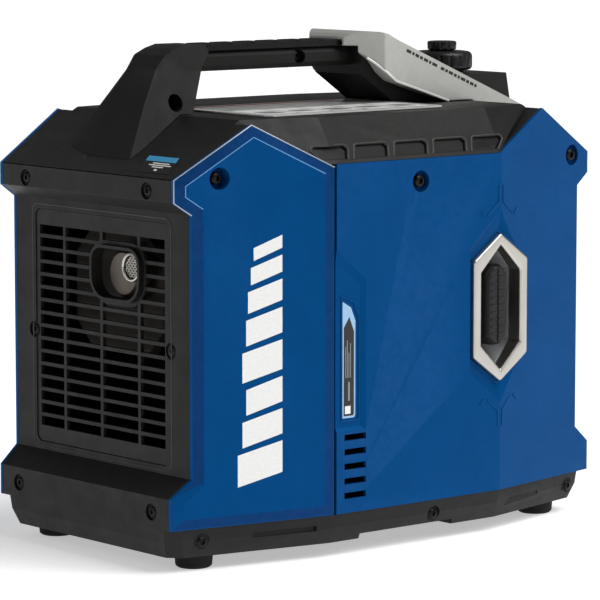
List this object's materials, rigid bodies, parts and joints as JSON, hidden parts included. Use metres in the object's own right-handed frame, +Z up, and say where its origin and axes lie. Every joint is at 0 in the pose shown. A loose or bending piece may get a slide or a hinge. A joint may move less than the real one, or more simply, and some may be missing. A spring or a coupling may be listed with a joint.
{
  "type": "portable inverter generator",
  "caption": "Closed portable inverter generator with carry handle, hexagonal recoil starter well, exhaust grille and outlet panel.",
  "frame": {"origin": "centre of the overall box, on the floor under the rubber feet", "axes": "+X towards the control panel, -X towards the exhaust grille, -Y towards the recoil starter, +Z up"},
  "size_m": [0.54, 0.3356, 0.4915],
  "materials": {
    "black_shell": "fine moulded grain",
    "black_satin": "satin",
    "blue_panel": "satin gloss",
    "rubber": "matt",
    "silver_trim": "satin silver paint",
    "bezel_metal": "satin bright",
    "steel": "plain",
    "dark_steel": "heat darkened",
    "alloy": "as cast",
    "deck_plate": "gloss",
    "grey_plastic": "fine grain",
    "white_plastic": "satin",
    "red_plastic": "satin",
    "rope": "braided",
    "windings": "copper windings and laminations"
  },
  "bodies": {
    "shell": {"base_tray": "black_shell", "foot_1": "rubber", "foot_2": "rubber", "foot_3": "rubber", "foot_4": "rubber", "exhaust_end_cover": "black_shell", "control_end_cover": "black_shell", "exhaust_grille": "black_shell", "pad_panel_near": "blue_panel", "service_panel_near": "blue_panel", "pad_panel_far": "blue_panel", "service_panel_far": "blue_panel", "panel_screw_1": "dark_steel", "panel_screw_2": "dark_steel", "panel_screw_3": "dark_steel", "top_cover": "black_shell", "deck_plate": "deck_plate", "carry_handle": "black_shell", "handle_grip_pad": "rubber", "handle_yoke": "silver_trim", "fuel_tank": "black_satin", "filler_neck": "steel", "hex_bezel": "bezel_metal", "recoil_well": "steel", "recoil_housing": "alloy", "engine_block": "alloy", "cylinder": "alloy", "spark_plug": "white_plastic", "plug_cap": "rubber", "alternator_stator": "windings", "fan_shroud": "black_satin", "carburettor": "alloy", "air_filter_box": "black_satin", "muffler": "dark_steel", "muffler_shroud": "dark_steel", "exhaust_outlet": "dark_steel", "spark_arrestor": "steel", "inverter_module": "alloy", "control_panel": "grey_plastic", "display_window": "black_satin", "ac_socket_1": "black_satin", "ac_socket_2": "black_satin", "dc_socket": "black_satin", "usb_port": "black_satin", "ground_terminal": "steel"},
    "starter_grip": {"recoil_grip": "black_satin", "starter_rope": "rope"},
    "starter_pulley": {"recoil_pulley": "grey_plastic"},
    "crank_train": {"crankshaft": "steel", "alternator_rotor": "dark_steel", "cooling_fan": "black_satin"},
    "cap_seal": {"cap_gasket": "rubber"},
    "filler_cap": {"fuel_cap": "black_satin"},
    "vent_knob": {"cap_vent_knob": "black_satin"},
    "engine_switch": {"engine_switch_knob": "red_plastic"},
    "eco_switch": {"eco_rocker": "black_satin"},
    "reset_switch": {"reset_button": "white_plastic"},
    "socket_lid_left": {"socket_lid_1": "black_shell"},
    "socket_lid_right": {"socket_lid_2": "black_shell"},
    "dipstick": {"oil_dipstick": "black_satin"}
  },
  "joints": [
    {"name": "starter_pull", "type": "slide", "parent": "shell", "child": "starter_grip", "axis": [0, -1, 0], "range_m": [0, 0.6]},
    {"name": "pulley_turn", "type": "hinge", "parent": "shell", "child": "starter_pulley", "pos_m": [0.117, 0, 0.172], "axis": [1, 0, 0], "range_deg": [-2, 664]},
    {"name": "crank_spin", "type": "hinge", "parent": "shell", "child": "crank_train", "pos_m": [0, 0, 0.172], "axis": [1, 0, 0], "continuous": true},
    {"name": "cap_lift", "type": "slide", "parent": "shell", "child": "cap_seal", "axis": [0, 0, 1], "range_m": [0, 0.06]},
    {"name": "cap_turn", "type": "hinge", "parent": "cap_seal", "child": "filler_cap", "pos_m": [0.19, 0, 0.454], "axis": [0, 0, 1], "range_deg": [0, 120]},
    {"name": "vent_turn", "type": "hinge", "parent": "filler_cap", "child": "vent_knob", "pos_m": [0.19, 0, 0.47], "axis": [0, 0, 1], "range_deg": [0, 90]},
    {"name": "engine_switch_turn", "type": "hinge", "parent": "shell", "child": "engine_switch", "pos_m": [0.251, -0.062, 0.268], "axis": [1, 0, 0], "range_deg": [-90, 0]},
    {"name": "eco_switch_tip", "type": "hinge", "parent": "shell", "child": "eco_switch", "pos_m": [0.245, -0.062, 0.214], "axis": [0, 1, 0], "range_deg": [-14, 0]},
    {"name": "reset_press", "type": "slide", "parent": "shell", "child": "reset_switch", "axis": [-1, 0, 0], "range_m": [0, 0.003], "stiffness_N_per_m": 300},
    {"name": "lid_left_lift", "type": "hinge", "parent": "shell", "child": "socket_lid_left", "pos_m": [0.2544, -0.046, 0.177], "axis": [0, -1, 0], "range_deg": [0, 110], "stiffness_Nm_per_rad": 0.05},
    {"name": "lid_right_lift", "type": "hinge", "parent": "shell", "child": "socket_lid_right", "pos_m": [0.2544, 0.046, 0.177], "axis": [0, -1, 0], "range_deg": [0, 110], "stiffness_Nm_per_rad": 0.05},
    {"name": "dipstick_draw", "type": "slide", "parent": "shell", "child": "dipstick", "axis": [0, -1, 0], "range_m": [0, 0.04]}
  ],
  "couplings": [
    {"joint": "pulley_turn", "follows": "starter_pull", "rad_per_m": 19.231}
  ]
}
